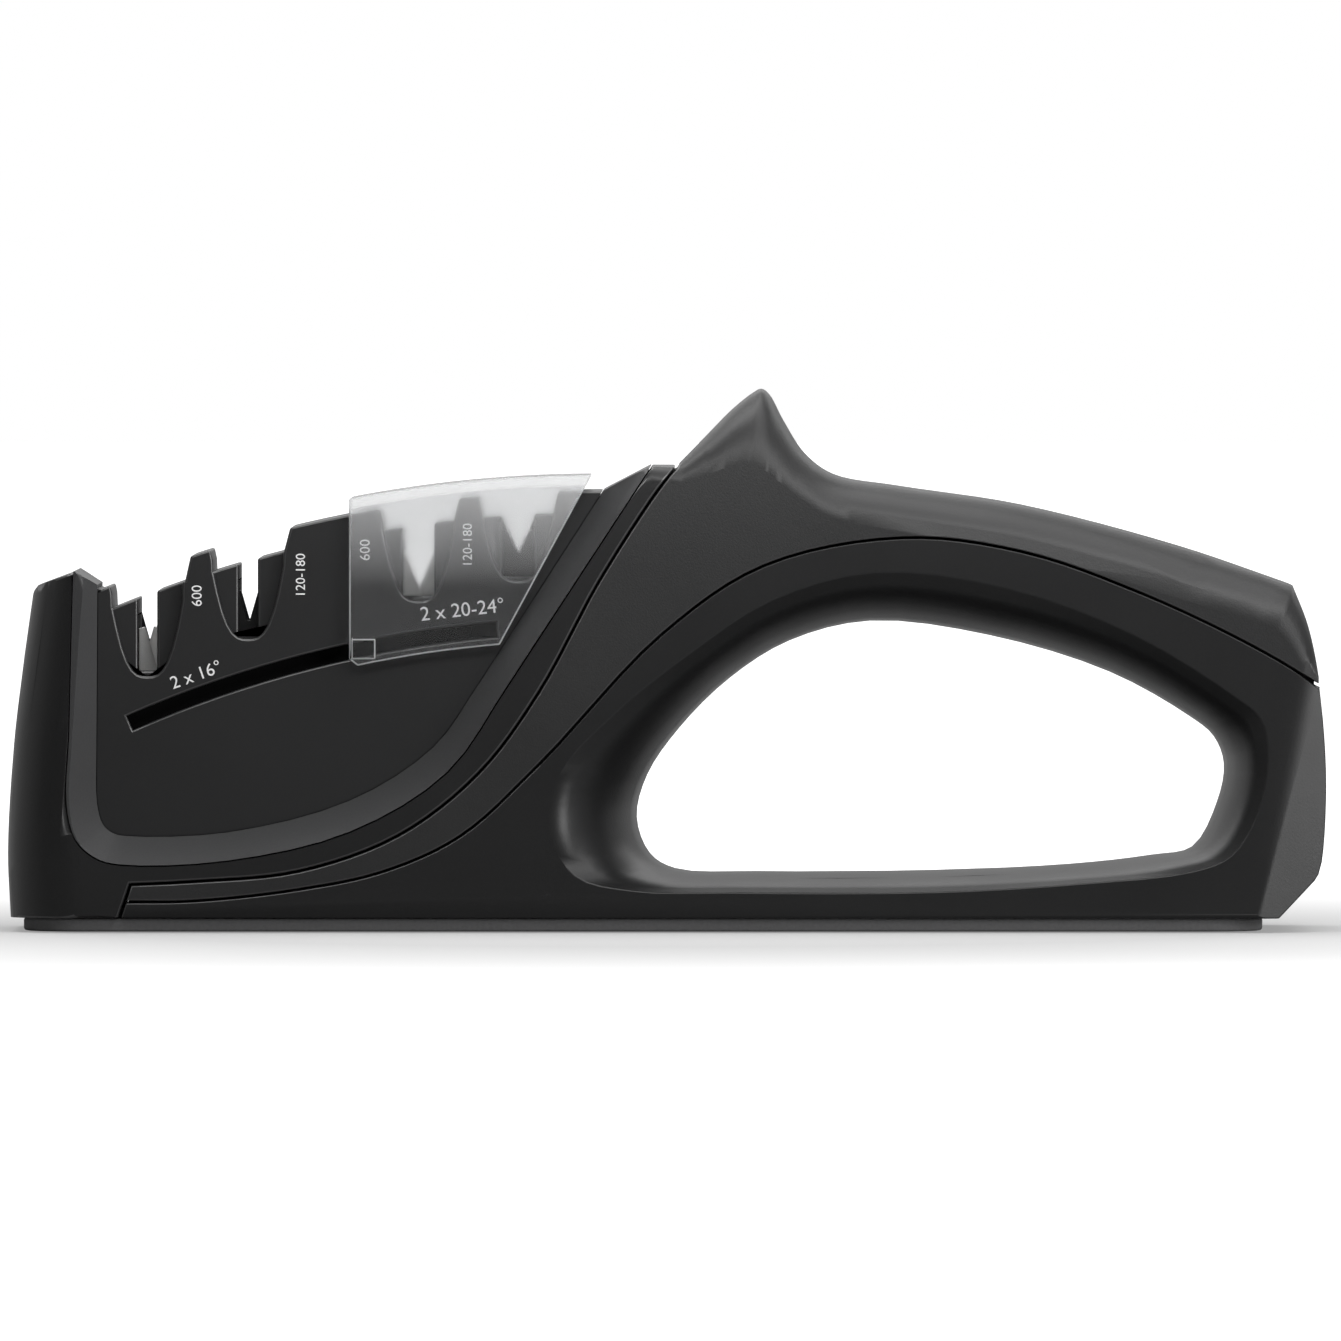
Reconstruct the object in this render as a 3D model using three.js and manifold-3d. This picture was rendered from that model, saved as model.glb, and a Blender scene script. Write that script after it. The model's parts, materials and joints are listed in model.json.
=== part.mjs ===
// Handheld pull-through knife sharpener: four slots in two pairs, a cover that slides along an arc over
// one pair at a time, and a loop handle. Millimetres, +X towards the handle, +Z up, the origin under the
// middle of the sole, and both sides alike about Y = 0.
import * as THREE from 'three';
import { mergeVertices } from 'three/addons/utils/BufferGeometryUtils.js';
import Module from 'manifold-3d';

const wasm = await Module();
wasm.setup();

// Body
const FRONT_X = -109.4;
const REAR_X = 109.4;
const HORN_TIP_Z = 89.7;
const BODY_HALF_WIDTH = 25;
const SIDE_LEAN = 0.066;
const NOSE_RADIUS = 13;
const NOSE_STEPS = 10;
const NOSE_SKIN = 0.05;
const REAR_FACET_START = 11.8;
const REAR_FACET_DEPTH = 4.2;
const SEAM_GAP = 0.5;
const FIT = 0.3;
const TONGUE_LAP = 0.8;
const TONGUE_HALF_WIDTH = 16.5;
const GRIP_TONGUE_FRONT_X = -48;
const TONGUE_REAR_WALL = 1.9;
const TONGUE_TOP_WALL = 0.7;
const FRAME_CORE_SPAN = [-54, -25];
const FRAME_CORE_SIDE_WALL = 7;
const FRAME_CORE_TOP_WALL = 3.5;
const CAP_CORE_HALF_WIDTH = 9;

// Sole, base plate and screws
const SOLE_THICKNESS = 2.2;
const SOLE_INSET = 2.7;
const PLATE_THICKNESS = 1.6;
const PLATE_INSET = 4.2;
const SOLE_REAR_X = 99;
const PLAN_CORNER = 9;
const SCREW_SHANK_RADIUS = 1.4;
const SCREW_HEAD_RADIUS = 2.9;
const SCREW_LENGTH = 7;
const SCREW_X = [-98, -18.5, 92.5];
const SCREW_SIDE_INSET = 14;

// Slot block and the arc that the cover slides on
const ARC_X = -11.9;
const BLOCK_CROWN_Z = 73;
const BLOCK_TOP_RADIUS = 213.5;
const BLOCK_HALF_WIDTH = 17.6;
const LEDGE_DROP = 3.6;
const CEILING_WALL = 2.5;
const RECESS_DEPTH = 2;
const PANEL_WALL = 2.2;
const END_WALL = 2.4;
const NOTCH_WIDTH = 11.6;
const NOTCH_FLARE = 0.22;
const RECESS_SIDE_RISE = 0.72;
const RECESS_FLOOR_POWER = 2.9;
const RECESS_STEPS = 7;
const GROOVE_DROP = 22.3;
const GROOVE_WIDTH = 2.5;
const GROOVE_DEPTH = 3.2;
const GROOVE_FRONT_X = -89.5;
const GROOVE_REAR_X = -28.2;

// Slots, from the front: places, depths of the recess and of the crossing point below the block's top, and
// how far the two crossed elements reach below the point where they cross. Angles are half of each V.
const SLOT_X = [-86.1, -69.4, -41.1, -24.6];
const RECESS_DROP = [17.5, 16.7, 16.3, 14.6];
const CROSSING_DROP = [11.7, 13.7, 14.3, 10];
const ELEMENT_REACH = [10, 10, 10, 4];
const NARROW_SLOT_WIDTH = 3.2;
const WIDE_SLOT_WIDTH = 5.2;
const NARROW_SLOT_ANGLE = 16;
const WIDE_SLOT_ANGLE = 22;
const SLOT_FLOOR_RISE = 0.8;
const ELEMENT_WIDTH = 5;
const ELEMENT_THICKNESS = 4.6;
const ELEMENT_SPACING = 1;
const CARRIER_SPANS = [[-91, -60.5], [-50, 0]];

// Sliding cover
const COVER_WALL = 1.8;
const COVER_SLIDE_GAP = 0.35;
const COVER_TOP_GAP = 0.8;
const COVER_FOOT_LAP = 1.3;
const COVER_FRONT_X = -52.6;
const COVER_CORNER = 1.4;
const COVER_TOP_REAR_X = -12.4;
const COVER_FOOT_REAR_X = -27.6;
const COVER_RIB_SPAN = [-48.1, -30.2];
const COVER_TAB_LENGTH = 4.4;
const COVER_TAB_HEIGHT = 3.4;
const COVER_TAB_RISE = 0.7;

const STAGES = SLOT_X.map((x, i) => ({
  x,
  recess: RECESS_DROP[i],
  apex: CROSSING_DROP[i],
  reach: ELEMENT_REACH[i],
  width: i < 2 ? NARROW_SLOT_WIDTH : WIDE_SLOT_WIDTH,
  angle: THREE.MathUtils.degToRad(i < 2 ? NARROW_SLOT_ANGLE : WIDE_SLOT_ANGLE),
  element: i % 2 === 0 ? 'ceramic_rod' : 'carbide_bar',
}));
const ARC_Z = BLOCK_CROWN_Z - BLOCK_TOP_RADIUS;
const GROOVE_RADIUS = BLOCK_TOP_RADIUS - GROOVE_DROP;
const BODY_BOTTOM = SOLE_THICKNESS;
const PLATE_TOP = BODY_BOTTOM + PLATE_THICKNESS;
const POCKET_TOP = PLATE_TOP + FIT;
const FAR = 140;
const ARC_STEPS = 48;

// Colours
const BODY_BLACK = 0x1f1f21;
const GRIP_BLACK = 0x29292b;
const BLOCK_BLACK = 0x232325;
const BAND_GREY = 0x4a4a4c;
const SOLE_GREY = 0x323234;
const COVER_CLEAR = 0xdfe3e6;
const CERAMIC_WHITE = 0xd8d6cf;
const CARBIDE_GREY = 0x3a3b3e;
const STEEL = 0xb4b6b8;
const CLEAR = { transparent: true, opacity: 0.35 };

// Silhouette of the whole body with the point where each side face begins to round over:
// [x, z, side x, side z, depth of the rounding]. Runs meet at sharp corners.
const BODY_PROFILE = [
  [
    [FRONT_X + 0.5, BODY_BOTTOM, FRONT_X + 1.2, BODY_BOTTOM + 0.8, 0.8],
    [FRONT_X, 13, FRONT_X + 0.7, 13, 0.8],
    [FRONT_X + 1, 31, FRONT_X + 1.7, 31, 0.8],
    [FRONT_X + 2.4, 43, FRONT_X + 3.2, 42.5, 1],
    [FRONT_X + 4.2, 56, FRONT_X + 5.2, 54.6, 1.6],
    [FRONT_X + 5.1, 57.3, FRONT_X + 5.9, 55.5, 2],
  ],
  [[FRONT_X + 5.1, 57.3, FRONT_X + 5.9, 55.5, 2], [-98.1, 59.6, -98.1, 57.4, 2]],
  [[-98.1, 59.6, -98.1, 57.4, 2], [-94.4, 57.3, -94.4, 55.2, 2]],
  [[-94.4, 57.3, -94.4, 55.2, 2], [-10.25, 73, -10.25, 71, 2]],
  [[-10.25, 73, -10.25, 71, 2], [-2.6, 77.1, -2.4, 74.7, 2.4]],
  [[-2.6, 77.1, -2.4, 74.7, 2.4], [2.1, 77.1, 2.6, 74.4, 3]],
  [
    [2.1, 77.1, 2.6, 74.4, 3],
    [6.6, 81.7, 6.5, 75.6, 7],
    [11.1, HORN_TIP_Z - 3.4, 10.5, 77, 10],
    [14.6, HORN_TIP_Z - 0.6, 13.3, 77.6, 12],
    [15.9, HORN_TIP_Z, 14.3, 77.5, 12.4],
    [17.1, HORN_TIP_Z - 0.9, 15.3, 77.1, 12.4],
    [19.3, HORN_TIP_Z - 5, 17.4, 75.6, 12],
    [23, 79, 21.5, 72.2, 11],
    [27.8, 75.5, 27, 68.8, 10.5],
    [38.9, 73.5, 38.5, 66.3, 10.5],
    [59.1, 70.4, 58.3, 62.8, 10.5],
    [85.5, 63.5, 83.5, 55.8, 10.5],
    [REAR_X - 5.5, 57.2, REAR_X - 8.6, 50.3, 8],
  ],
  [
    [REAR_X - 5.5, 57.2, REAR_X - 8.6, 50.3, 8],
    [REAR_X - 3, 50.4, REAR_X - 5.5, 46.5, 4],
    [REAR_X - 1.1, 40.2, REAR_X - 2.1, 38.6, 2],
    [REAR_X, 24, REAR_X - 0.8, 24, 1.5],
    [REAR_X - 1.05, 10, REAR_X - 1.8, 10, 1.5],
    [REAR_X - 2, 8.3, REAR_X - 2.7, 8.6, 1.5],
  ],
  [
    [REAR_X - 2, 8.3, REAR_X - 2.7, 8.6, 1.5],
    [REAR_X - 7.9, BODY_BOTTOM, REAR_X - 8.4, BODY_BOTTOM + 0.8, 0.8],
  ],
];
const PROFILE_STEPS = 6;
const ROUNDING_ANGLES = [90, 72, 54, 36, 18, 0];

// Hand hole: [x, z] where it is narrowest on the centre plane, then [x, z] of its lip on the side face
const HAND_HOLE = [
  [-4.9, 18.5, -19.6, 17], [-3.2, 25.5, -18.2, 25.4], [2.2, 33.4, -8.5, 36.2], [10.6, 41.7, 3.5, 45.8],
  [20.5, 47.9, 17.5, 54.9], [33.9, 51.2, 34.5, 59.5], [53.9, 48.8, 56.5, 56.9], [73.9, 42.7, 77.5, 49.2],
  [87.2, 35.3, 94.5, 38.8], [91.2, 32, 98.6, 35.2], [92.9, 27.5, 99.7, 28.5], [91.8, 21.2, 98, 19.6],
  [87.6, 13.6, 93.6, 12.6], [80.6, 12.2, 87.2, 10], [67.2, 10.7, 69, 8], [45, 9.7, 45, 6.6],
  [15, 9.5, 10, 6.5], [1.5, 10, -5.5, 6.8], [-2.7, 12.5, -15.2, 9.3],
];
const HOLE_STEPS = 4;
const HOLE_ANGLES = [20, 30, 42, 56, 72, 90];

// Seam between head and handle, and seam between grip cap and handle frame
const FRONT_SEAM = [
  [-88.7, 7.8], [-78.1, 8.3], [-60.9, 10], [-44.4, 15.9], [-31.1, 26.2], [-21.1, 39.6], [-11.1, 58],
  [-1.2, 73.3], [2.1, 77.3],
];
const FRONT_SEAM_FOOT = [-91, 1];
const GRIP_SEAM = [
  [-92, 5], [-78.1, 5.2], [-60.9, 7.1], [-47.1, 10], [-34.2, 15.9], [-21.1, 27.8], [-0.8, 49.3],
  [16.2, 60.7], [38.9, 65.3], [58.9, 63], [79, 56], [99, 46.4], [112, 38.4],
];
const SEAM_STEPS = 6;

// Hollow under the thumb horn, open towards the handle frame
const CAP_CORE = [[2, 40], [24, 40], [24, 71], [17, 77], [10, 78], [2.5, 71]];

// Trim band: [x, z] of its edge on the housing face, then of its edge on the slot block
const BAND_FRONT_TOP = [-97.3, 100, -94.2, 100];
const BAND_CURVE = [
  [-98.8, 31.7, -94.7, 31], [-99.2, 21.2, -94.6, 21.2], [-97.7, 15.3, -93.6, 17.6],
  [-94.6, 12.4, -91.9, 16.1], [-90.8, 11.3, -89.6, 15.6], [-72.7, 11.9, -72.7, 16.2],
  [-52.4, 16.7, -52.4, 21.5], [-36.4, 26.5, -38.5, 30.4], [-26.1, 41.3, -30.7, 41.3],
];
const BAND_REAR_TOP = [12.4, 100, 7.2, 100];
const BAND_STEPS = 4;
const BAND_OVERRUN = 1.2;

function sideAt(z) {
  return BODY_HALF_WIDTH - SIDE_LEAN * (z - BODY_BOTTOM);
}

function arcPoint(radius, angle) {
  return [ARC_X + radius * Math.sin(angle), ARC_Z + radius * Math.cos(angle)];
}

function arcAngle(x, radius) {
  return Math.asin((x - ARC_X) / radius);
}

function arcHeight(x, radius) {
  return arcPoint(radius, arcAngle(x, radius))[1];
}

// Closed three.js geometry as a solid for joining and cutting
function solidOf(geometry) {
  geometry.deleteAttribute('normal');
  geometry.deleteAttribute('uv');
  const merged = mergeVertices(geometry, 1e-4);
  return new wasm.Manifold(new wasm.Mesh({
    numProp: 3,
    vertProperties: Float32Array.from(merged.attributes.position.array),
    triVerts: Uint32Array.from(merged.index.array),
  }));
}

function geometryOf(solid) {
  const mesh = solid.getMesh();
  const geometry = new THREE.BufferGeometry();
  geometry.setAttribute('position', new THREE.BufferAttribute(Float32Array.from(mesh.vertProperties), 3));
  geometry.setIndex(new THREE.BufferAttribute(Uint32Array.from(mesh.triVerts), 1));
  geometry.computeVertexNormals();
  return geometry;
}

// Prism of an [x, z] outline from one Y to another
function acrossY(outline, fromY, toY) {
  const shape = new THREE.Shape(outline.map(([x, z]) => new THREE.Vector2(x, z)));
  const geometry = new THREE.ExtrudeGeometry(shape, { depth: toY - fromY, bevelEnabled: false });
  geometry.rotateX(Math.PI / 2);
  geometry.translate(0, toY, 0);
  return solidOf(geometry);
}

function across(outline, halfWidth) {
  return acrossY(outline, -halfWidth, halfWidth);
}

// The same prism cut into both sides, from an inner to an outer Y
function bothSides(outline, innerY, outerY) {
  return acrossY(outline, innerY, outerY).add(acrossY(outline, -outerY, -innerY));
}

// Prism of an [x, y] outline from one Z to another
function upright(outline, fromZ, toZ) {
  const shape = new THREE.Shape(outline.map(([x, y]) => new THREE.Vector2(x, y)));
  const geometry = new THREE.ExtrudeGeometry(shape, { depth: toZ - fromZ, bevelEnabled: false });
  geometry.translate(0, 0, fromZ);
  return solidOf(geometry);
}

// Closed skin over rings of [x, y, z] points that match one to one, with ends that lie flat as seen along Y
// or, for level rings, along Z
function loft(rings, seen = ([x, , z]) => new THREE.Vector2(x, z)) {
  const count = rings[0].length;
  const positions = rings.flat(2);
  const faces = [];
  for (let ring = 0; ring < rings.length - 1; ring += 1) {
    for (let i = 0; i < count; i += 1) {
      const a = ring * count + i;
      const b = ring * count + ((i + 1) % count);
      faces.push(a, b, a + count, b, b + count, a + count);
    }
  }
  const flat = (ring) => ring.map(seen);
  const last = (rings.length - 1) * count;
  const turned = THREE.ShapeUtils.isClockWise(flat(rings[0]));
  for (const [a, b, c] of THREE.ShapeUtils.triangulateShape(flat(rings[0]), [])) {
    faces.push(...(turned ? [a, b, c] : [a, c, b]));
  }
  for (const [a, b, c] of THREE.ShapeUtils.triangulateShape(flat(rings.at(-1)), [])) {
    faces.push(...(turned ? [last + a, last + c, last + b] : [last + a, last + b, last + c]));
  }
  const geometry = new THREE.BufferGeometry();
  geometry.setAttribute('position', new THREE.BufferAttribute(Float32Array.from(positions), 3));
  geometry.setIndex(faces);
  const solid = solidOf(geometry);
  return solid.volume() > 0 ? solid : solidOf(flipped(geometry));
}

function flipped(geometry) {
  const index = geometry.index.array;
  for (let i = 0; i < index.length; i += 3) {
    [index[i + 1], index[i + 2]] = [index[i + 2], index[i + 1]];
  }
  return geometry;
}

// Rows of numbers splined column by column, two columns at a time, so that all columns stay in step
function smoothRows(rows, steps, closed = false) {
  const spans = closed ? rows.length : rows.length - 1;
  const columns = rows[0].map((_, column) => column);
  const curves = columns.filter((column) => column % 2 === 0).map((column) => new THREE.CatmullRomCurve3(
    rows.map((row) => new THREE.Vector3(row[column], row[column + 1] ?? 0, 0)), closed, 'centripetal',
  ));
  const samples = [];
  for (let i = 0; i <= spans * steps - (closed ? 1 : 0); i += 1) {
    const points = curves.map((curve) => curve.getPoint(i / (spans * steps)));
    samples.push(points.flatMap((point) => [point.x, point.y]).slice(0, columns.length));
  }
  return samples;
}

// Outline moved sideways, to the left of its direction of travel
function shifted(outline, distance, closed) {
  const count = outline.length;
  return outline.map((point, i) => {
    const before = outline[closed ? (i + count - 1) % count : Math.max(i - 1, 0)];
    const after = outline[closed ? (i + 1) % count : Math.min(i + 1, count - 1)];
    const into = new THREE.Vector2(point[0] - before[0], point[1] - before[1]).normalize();
    const out = new THREE.Vector2(after[0] - point[0], after[1] - point[1]).normalize();
    const along = into.clone().add(out).normalize();
    const turn = Math.max(along.dot(into.lengthSq() ? into : out), 0.3);
    return [point[0] - (along.y * distance) / turn, point[1] + (along.x * distance) / turn];
  });
}

function ringSector(innerRadius, outerRadius, fromX, toX, steps) {
  const turn = [arcAngle(fromX, outerRadius), arcAngle(toX, outerRadius)];
  const angles = Array.from({ length: steps + 1 }, (_, i) => turn[0] + ((turn[1] - turn[0]) * i) / steps);
  return [
    ...angles.map((angle) => arcPoint(innerRadius, angle)),
    ...angles.reverse().map((angle) => arcPoint(outerRadius, angle)),
  ];
}

// Everything under one arc, wide enough to take in the whole head
function underArc(radius) {
  const arc = ringSector(radius, radius, FRONT_X - FIT, -FRONT_X / 2, ARC_STEPS).slice(0, ARC_STEPS + 1);
  return [...arc, [arc.at(-1)[0], 0], [arc[0][0], 0]];
}

function rectangle(fromX, toX, fromZ, toZ) {
  return [[fromX, fromZ], [toX, fromZ], [toX, toZ], [fromX, toZ]];
}

// Body that all outer shells are cut from. Its plan has a round nose, which leans back with the front edge
// and draws in with the sides, and a facet at each rear corner.
function planOutline(frontX, noseHalfWidth) {
  const points = [];
  for (let step = 0; step <= NOSE_STEPS; step += 1) {
    const turn = (Math.PI / 2) * (step / NOSE_STEPS);
    points.push([
      frontX + NOSE_RADIUS * (1 - Math.sin(turn)), noseHalfWidth - NOSE_RADIUS * (1 - Math.cos(turn)),
    ]);
  }
  const facetSlope = REAR_FACET_DEPTH / REAR_FACET_START;
  const rear = [
    [REAR_X + 1, BODY_HALF_WIDTH - REAR_FACET_DEPTH - facetSlope],
    [REAR_X - REAR_FACET_START, BODY_HALF_WIDTH],
  ];
  const half = [...points.reverse(), ...rear.reverse()];
  return [...half, ...half.map(([x, y]) => [x, -y]).reverse()];
}

function planBlock() {
  const rows = BODY_PROFILE[0].slice(0, -1);
  const front = smoothRows(rows, PROFILE_STEPS);
  const [[lowX, lowZ], [highX, highZ]] = rows.slice(-2);
  const topX = highX + ((highX - lowX) / (highZ - lowZ)) * (FAR - highZ);
  const levels = [[front[0][0], 0], ...front, [topX, FAR]];
  const rings = levels.map(([x, z]) => {
    const halfWidth = sideAt(Math.min(z, HORN_TIP_Z)) + NOSE_SKIN;
    return planOutline(x - NOSE_SKIN, halfWidth).map(([planX, planY]) => [planX, planY, z]);
  });
  return loft(rings, ([x, y]) => new THREE.Vector2(x, y));
}

function bodyEnvelope() {
  const rows = BODY_PROFILE.flatMap((run) => {
    const samples = smoothRows(run, run.length > 2 ? PROFILE_STEPS : 1);
    return samples.slice(0, -1);
  });
  rows.push(BODY_PROFILE.at(-1).at(-1));
  const side = ROUNDING_ANGLES.map((degrees) => {
    const angle = THREE.MathUtils.degToRad(degrees);
    return rows.map(([x, z, sideX, sideZ, depth]) => {
      const ringX = sideX + (x - sideX) * Math.cos(angle);
      const ringZ = sideZ + (z - sideZ) * Math.cos(angle);
      return [ringX, -sideAt(ringZ) + depth * (1 - Math.sin(angle)), ringZ];
    });
  });
  const otherSide = side.map((ring) => ring.map(([x, y, z]) => [x, -y, z])).reverse();
  return loft([...side, ...otherSide]).intersect(planBlock());
}

function handHole() {
  const rows = smoothRows(HAND_HOLE, HOLE_STEPS, true);
  const first = THREE.MathUtils.degToRad(HOLE_ANGLES[0]);
  const lip = rows.map(([x, z, lipX, lipZ]) => [lipX, -sideAt(lipZ) - 1, lipZ]);
  const side = HOLE_ANGLES.map((degrees) => {
    const angle = THREE.MathUtils.degToRad(degrees);
    const inward = (Math.sin(angle) - Math.sin(first)) / (1 - Math.sin(first));
    return rows.map(([x, z, lipX, lipZ]) => {
      const ringZ = lipZ + (z - lipZ) * inward;
      return [lipX + (x - lipX) * inward, (-sideAt(lipZ) * Math.cos(angle)) / Math.cos(first), ringZ];
    });
  });
  const otherSide = [lip, ...side.slice(0, -1)].map((ring) => ring.map(([x, y, z]) => [x, -y, z]));
  return loft([lip, ...side, ...otherSide.reverse()]);
}

// Regions on either side of the two seams
const frontSeam = [FRONT_SEAM_FOOT, ...smoothRows(FRONT_SEAM, SEAM_STEPS)];
const gripSeam = smoothRows(GRIP_SEAM, SEAM_STEPS);

function aheadOfFrontSeam(distance) {
  const edge = shifted(frontSeam, distance, false);
  return across([...edge, [edge.at(-1)[0], FAR], [-FAR, FAR], [-FAR, edge[0][1]]], FAR);
}

function behindFrontSeam(distance) {
  const edge = shifted(frontSeam, -distance, false);
  return across([...edge, [edge.at(-1)[0], FAR], [FAR, FAR], [FAR, edge[0][1]]], FAR);
}

function aboveGripSeam(distance) {
  const edge = shifted(gripSeam, distance, false);
  return across([...edge, [FAR, FAR], [edge[0][0], FAR]], FAR);
}

function belowGripSeam(distance) {
  const edge = shifted(gripSeam, -distance, false);
  return across([...edge, [FAR, edge.at(-1)[1]], [FAR, 0], [edge[0][0], 0]], FAR);
}

// Everything under the top of the head, less the skin that covers tongues and lips there
function underHeadTop(grow) {
  const top = BODY_PROFILE.slice(1, 7).map(([[x, z]]) => [x, z - TONGUE_TOP_WALL + grow]);
  return across([[-FAR, 0], [-FAR, top[0][1]], ...top, [FAR, top.at(-1)[1]], [FAR, 0]], FAR);
}

// Tongue along a seam, which reaches into the groove of the shell on its left and closes the view through
// the gap
function seamTongue(seam, fromX, grow) {
  const root = shifted(seam, -SEAM_GAP, false);
  const tip = shifted(seam, SEAM_GAP / 2 + TONGUE_LAP + grow, false);
  const span = rectangle(fromX - grow, REAR_X - TONGUE_REAR_WALL + grow, 0, FAR);
  return across([...root, ...tip.reverse()], TONGUE_HALF_WIDTH + grow).intersect(across(span, FAR))
    .intersect(underHeadTop(grow));
}

function gripTongue(grow = 0) {
  return seamTongue(gripSeam, GRIP_TONGUE_FRONT_X, grow);
}

function frontTongue(grow = 0) {
  return seamTongue(frontSeam, FRONT_X, grow).intersect(aboveGripSeam(SEAM_GAP / 2 - grow));
}

// Trim band outlines, matched point for point
const bandRows = [BAND_FRONT_TOP, ...smoothRows(BAND_CURVE, BAND_STEPS), BAND_REAR_TOP];
const bandOuter = bandRows.map(([x, z]) => [x, z]);
const bandInner = bandRows.map(([, , x, z]) => [x, z]);

function bandFunnel() {
  const ring = (share) => bandRows.map(([x, z, innerX, innerZ]) => {
    const ringZ = innerZ + (z - innerZ) * share;
    const y = BLOCK_HALF_WIDTH + (sideAt(z) - BLOCK_HALF_WIDTH) * share;
    return [innerX + (x - innerX) * share, -y, ringZ];
  });
  const side = [ring(BAND_OVERRUN), ring(0)];
  return loft([...side, ...side.map((points) => points.map(([x, y, z]) => [x, -y, z])).reverse()]);
}

// Lips of the housing and of the slot block, which reach into grooves of the band below the top of the head
function bandLip(edge, towards, grow = 0) {
  const half = TONGUE_HALF_WIDTH + grow;
  const root = across(shifted(edge, -towards * 2 * FIT, true), half);
  const tip = across(shifted(edge, towards * (TONGUE_LAP + grow), true), half);
  return (towards > 0 ? root.subtract(tip) : tip.subtract(root)).intersect(underHeadTop(grow));
}

const housingLip = (grow) => bandLip(bandOuter, 1, grow);
const blockLip = (grow) => bandLip(bandInner, -1, grow);

// Base: plan outline of the plate, its pocket and the sole, and the screws through the plate
function basePlan(inset, grow = 0) {
  const front = FRONT_X + inset - grow;
  const rear = SOLE_REAR_X + SOLE_INSET - inset + grow;
  const half = BODY_HALF_WIDTH - inset + grow;
  const corner = PLAN_CORNER;
  const points = [];
  for (const [cornerX, cornerY, start] of [
    [rear - corner, half - corner, 0], [front + corner, half - corner, 1],
    [front + corner, corner - half, 2], [rear - corner, corner - half, 3],
  ]) {
    for (let step = 0; step <= 4; step += 1) {
      const turn = (Math.PI / 2) * (start + step / 4);
      points.push([cornerX + corner * Math.cos(turn), cornerY + corner * Math.sin(turn)]);
    }
  }
  return points;
}

function screwProfile(grow) {
  const head = SCREW_HEAD_RADIUS + grow;
  const shank = SCREW_SHANK_RADIUS + grow;
  const shoulder = SCREW_HEAD_RADIUS - SCREW_SHANK_RADIUS;
  return [[0, -grow], [head, -grow], [head, 0], [shank, shoulder], [shank, SCREW_LENGTH + grow],
    [0, SCREW_LENGTH + shank + grow]];
}

function screwGeometry(grow = 0) {
  const points = screwProfile(grow).map(([radius, height]) => new THREE.Vector2(radius, height));
  const profile = points.filter((point, i) => i === 0 || point.distanceTo(points[i - 1]) > 1e-6);
  return new THREE.LatheGeometry(profile, 12).rotateX(Math.PI / 2);
}

const screwY = BODY_HALF_WIDTH - SCREW_SIDE_INSET;
const screwSpots = SCREW_X.flatMap((x) => [[x, -screwY], [x, screwY]]);

function screwHoles() {
  const height = BODY_BOTTOM + FIT;
  const holes = screwSpots.map(([x, y]) => solidOf(screwGeometry(FIT).translate(x, y, height)));
  return holes.reduce((all, hole) => all.add(hole));
}

function platePocket() {
  return upright(basePlan(PLATE_INSET, FIT), BODY_BOTTOM - 1, POCKET_TOP);
}

function solePad() {
  return upright(basePlan(SOLE_INSET), 0, SOLE_THICKNESS);
}

function basePlate() {
  return upright(basePlan(PLATE_INSET), BODY_BOTTOM, PLATE_TOP).subtract(screwHoles());
}

// Outer shells
function headHousing(body) {
  const window = across(shifted(bandOuter, -FIT, true), FAR);
  return body.intersect(aheadOfFrontSeam(SEAM_GAP / 2)).subtract(window.subtract(housingLip()))
    .subtract(frontTongue(FIT)).subtract(platePocket()).subtract(screwHoles());
}

function handleFrame(body) {
  const core = across(rectangle(...FRAME_CORE_SPAN, 0, FAR), BODY_HALF_WIDTH - FRAME_CORE_SIDE_WALL)
    .intersect(belowGripSeam(FRAME_CORE_TOP_WALL));
  return body.intersect(behindFrontSeam(SEAM_GAP / 2)).intersect(belowGripSeam(SEAM_GAP / 2))
    .add(gripTongue()).subtract(handHole()).subtract(platePocket()).subtract(core)
    .subtract(screwHoles());
}

function gripCap(body) {
  const core = across(CAP_CORE, CAP_CORE_HALF_WIDTH);
  return body.intersect(behindFrontSeam(SEAM_GAP / 2)).intersect(aboveGripSeam(SEAM_GAP / 2))
    .add(frontTongue()).subtract(gripTongue(FIT)).subtract(core);
}

function trimBand(body) {
  return body.intersect(across(bandOuter, FAR)).subtract(bandFunnel()).subtract(housingLip(FIT))
    .subtract(blockLip(FIT));
}

// Slot block: a channel that is open below, with notches, recesses, slots and the guide groove
const ceilingRadius = BLOCK_TOP_RADIUS - LEDGE_DROP - CEILING_WALL;
const panelFace = BLOCK_HALF_WIDTH - RECESS_DEPTH;
const cavityHalfWidth = panelFace - PANEL_WALL;
const cavityFrontX = bandInner[1][0] + FIT + END_WALL;

// Notch between two teeth, wider towards the top, down to ledges that follow the arc
function notchCut(stage) {
  const half = NOTCH_WIDTH / 2;
  const ledgeZ = arcHeight(stage.x, BLOCK_TOP_RADIUS - LEDGE_DROP);
  const flared = half + NOTCH_FLARE * (FAR - ledgeZ);
  const column = across([
    [stage.x - half, 0], [stage.x + half, 0], [stage.x + half, ledgeZ],
    [stage.x + flared, FAR], [stage.x - flared, FAR], [stage.x - half, ledgeZ],
  ], FAR);
  return column.subtract(across(underArc(BLOCK_TOP_RADIUS - LEDGE_DROP), FAR));
}

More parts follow.
